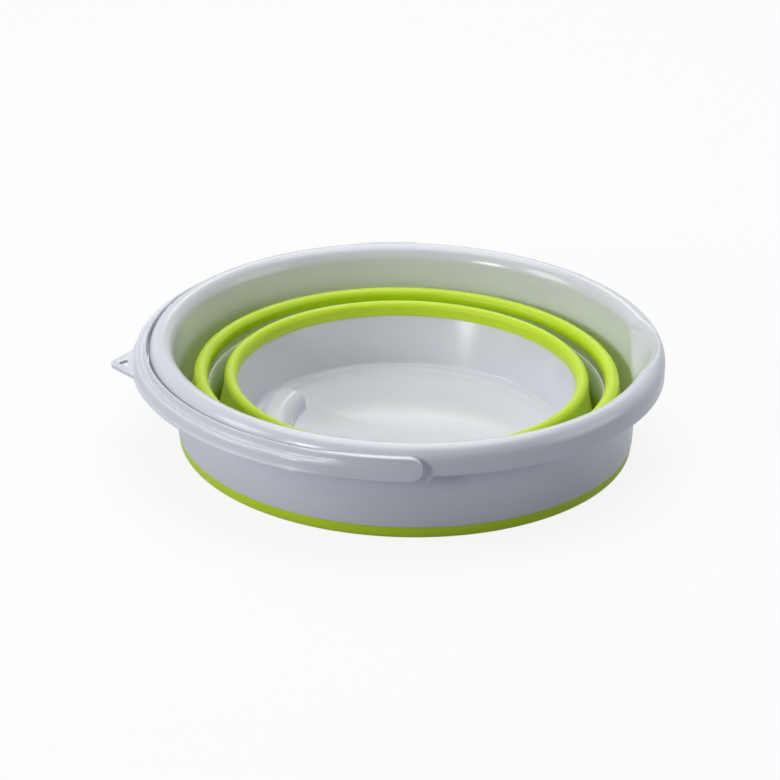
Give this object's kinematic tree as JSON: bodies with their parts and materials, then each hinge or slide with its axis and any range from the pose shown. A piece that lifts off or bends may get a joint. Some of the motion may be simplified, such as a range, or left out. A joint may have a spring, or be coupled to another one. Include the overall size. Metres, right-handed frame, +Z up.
{
  "type": "collapsible bucket",
  "caption": "Folding bucket of nested hard plastic rings joined by soft rubber folds, with a pour spout, a floor finger recess and a swinging bail handle with a hanging eye.",
  "frame": {"origin": "on the bucket's axis, on the flat underside of the base cup that it stands on", "axes": "+Z up along the bucket's axis, +X towards the pour spout, Y along the handle's pivot axis"},
  "size_m": [0.3532, 0.3416, 0.0707],
  "materials": {
    "grey_plastic": "smooth light grey polypropylene with a satin sheen",
    "green_rubber": "smooth lime green thermoplastic rubber"
  },
  "bodies": {
    "base": {"base_cup": "grey_plastic", "inner_fold_bead": "green_rubber", "inner_fold_web": "green_rubber"},
    "middle": {"middle_ring": "grey_plastic", "inner_fold_hem": "green_rubber", "outer_fold_bead": "green_rubber", "outer_fold_web": "green_rubber"},
    "upper": {"upper_ring": "grey_plastic", "outer_fold_hem": "green_rubber"},
    "bail": {"handle": "grey_plastic", "hanging_eye": "grey_plastic"}
  },
  "joints": [
    {"name": "middle_lift", "type": "slide", "parent": "base", "child": "middle", "axis": [0, 0, 1], "range_m": [0, 0.058], "deforming": ["inner_fold_web"]},
    {"name": "upper_lift", "type": "slide", "parent": "middle", "child": "upper", "axis": [0, 0, 1], "range_m": [0, 0.064], "deforming": ["outer_fold_web"]},
    {"name": "handle_swing", "type": "hinge", "parent": "upper", "child": "bail", "pos_m": [0, 0, 0.0583], "axis": [0, 1, 0], "range_deg": [0, 180]}
  ]
}
